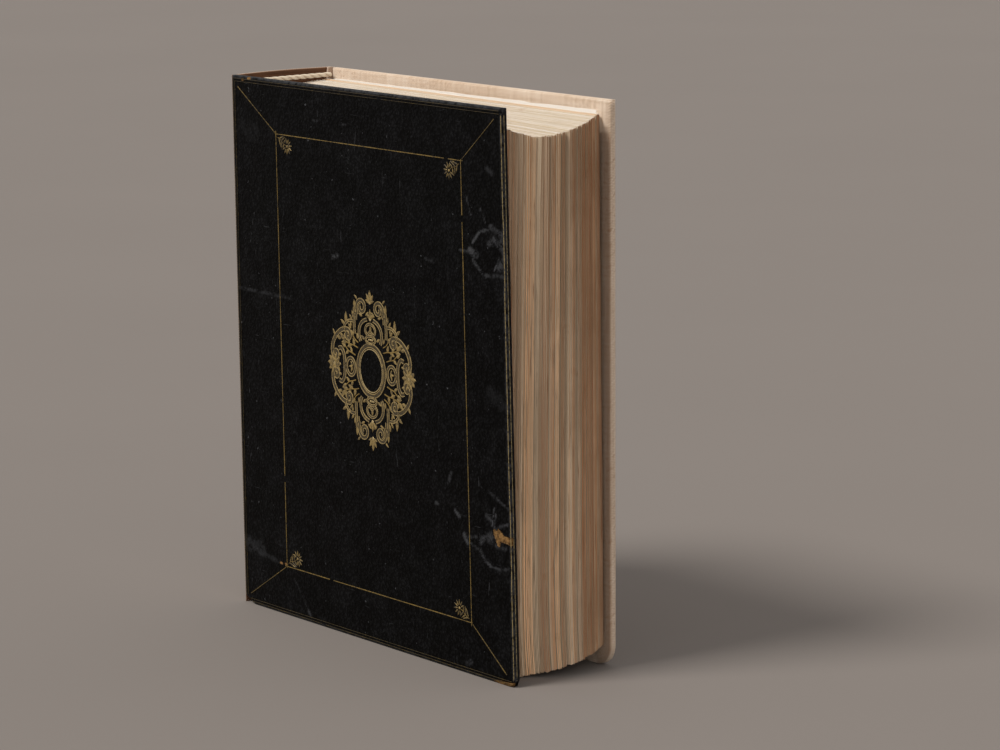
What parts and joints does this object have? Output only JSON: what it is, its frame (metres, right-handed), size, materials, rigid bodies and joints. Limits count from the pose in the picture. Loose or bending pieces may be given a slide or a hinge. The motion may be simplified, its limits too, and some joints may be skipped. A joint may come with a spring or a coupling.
{
  "type": "prayer book",
  "caption": "Antique hardback prayer book with a gilt-tooled leather front board and a linen spine; its covers, flyleaves and book block open.",
  "frame": {"origin": "centre of the closed book's footprint, on the surface that it stands on", "axes": "+X from the spine to the fore edge, +Y from the front board to the back board, +Z from the tail to the head"},
  "size_m": [0.2166, 0.0572, 0.25],
  "materials": {
    "leather": "satin",
    "gilt": "satin",
    "linen": "matte",
    "board": "matte",
    "paper": "matte",
    "endpaper": "matte",
    "lining": "matte",
    "headband": "matte"
  },
  "bodies": {
    "rear_block": {"lining_back": "lining", "headband_back": "headband", "tailband_back": "headband", "rear_gathering_01": "paper", "rear_gathering_02": "paper", "rear_gathering_03": "paper", "rear_gathering_04": "paper", "rear_gathering_05": "paper", "rear_gathering_06": "paper", "rear_gathering_07": "paper", "rear_gathering_08": "paper", "rear_gathering_09": "paper", "rear_gathering_10": "paper"},
    "front_block": {"lining_front": "lining", "headband_front": "headband", "tailband_front": "headband", "front_gathering_01": "paper", "front_gathering_02": "paper", "front_gathering_03": "paper", "front_gathering_04": "paper", "front_gathering_05": "paper", "front_gathering_06": "paper", "front_gathering_07": "paper", "front_gathering_08": "paper", "front_gathering_09": "paper", "front_gathering_10": "paper"},
    "front_cover": {"front_board": "board", "front_leather": "leather", "front_pastedown": "endpaper", "gilt_outer_fillets": "gilt", "gilt_inner_frame": "gilt", "gilt_mitre_lines": "gilt", "gilt_corner_fleurons": "gilt", "gilt_centre_ornament": "gilt"},
    "back_cover": {"back_board": "board", "back_linen": "linen", "back_pastedown": "endpaper"},
    "spine_rear_half": {"spine_card_back": "board", "spine_linen_back": "linen"},
    "spine_front_half": {"spine_card_front": "board", "spine_linen_front": "linen"},
    "front_endpaper": {"front_flyleaf": "endpaper"},
    "back_endpaper": {"back_flyleaf": "endpaper"},
    "loose_leaf_1": {"leaf_1": "paper"},
    "loose_leaf_2": {"leaf_2": "paper"},
    "loose_leaf_3": {"leaf_3": "paper"}
  },
  "joints": [
    {"name": "book_opening", "type": "hinge", "parent": "rear_block", "child": "front_block", "pos_m": [-0.09994, 0.00006, 0], "axis": [0, 0, -1], "range_deg": [0, 60]},
    {"name": "front_cover_hinge", "type": "hinge", "parent": "front_block", "child": "front_cover", "pos_m": [-0.10434, -0.02844, 0], "axis": [0, 0, -1], "range_deg": [0, 140]},
    {"name": "back_cover_hinge", "type": "hinge", "parent": "rear_block", "child": "back_cover", "pos_m": [-0.10434, 0.02856, 0], "axis": [0, 0, 1], "range_deg": [0, 140]},
    {"name": "spine_rear_fold", "type": "hinge", "parent": "rear_block", "child": "spine_rear_half", "pos_m": [-0.10434, 0.02856, 0], "axis": [0, 0, -1], "range_deg": [0, 60]},
    {"name": "spine_middle_fold", "type": "hinge", "parent": "spine_rear_half", "child": "spine_front_half", "pos_m": [-0.10634, 0.00006, 0], "axis": [0, 0, 1], "range_deg": [0, 60]},
    {"name": "front_flyleaf_turn", "type": "hinge", "parent": "front_block", "child": "front_endpaper", "pos_m": [-0.09994, -0.02424, 0], "axis": [0, 0, -1], "range_deg": [0, 70]},
    {"name": "back_flyleaf_turn", "type": "hinge", "parent": "rear_block", "child": "back_endpaper", "pos_m": [-0.09994, 0.02436, 0], "axis": [0, 0, 1], "range_deg": [0, 70]},
    {"name": "leaf_1_turn", "type": "hinge", "parent": "rear_block", "child": "loose_leaf_1", "pos_m": [-0.09994, -0.00029, 0], "axis": [0, 0, -1], "range_deg": [0, 45]},
    {"name": "leaf_2_turn", "type": "hinge", "parent": "rear_block", "child": "loose_leaf_2", "pos_m": [-0.09994, 0.00006, 0], "axis": [0, 0, -1], "range_deg": [0, 30]},
    {"name": "leaf_3_turn", "type": "hinge", "parent": "rear_block", "child": "loose_leaf_3", "pos_m": [-0.09994, 0.00041, 0], "axis": [0, 0, -1], "range_deg": [0, 15]}
  ],
  "couplings": [
    {"joint": "spine_rear_fold", "follows": "book_opening", "ratio": 1},
    {"joint": "spine_middle_fold", "follows": "book_opening", "ratio": 1},
    {"joint": "front_flyleaf_turn", "follows": "front_cover_hinge", "ratio": 0.5},
    {"joint": "back_flyleaf_turn", "follows": "back_cover_hinge", "ratio": 0.5},
    {"joint": "leaf_1_turn", "follows": "book_opening", "ratio": 0.75},
    {"joint": "leaf_2_turn", "follows": "book_opening", "ratio": 0.5},
    {"joint": "leaf_3_turn", "follows": "book_opening", "ratio": 0.25}
  ]
}
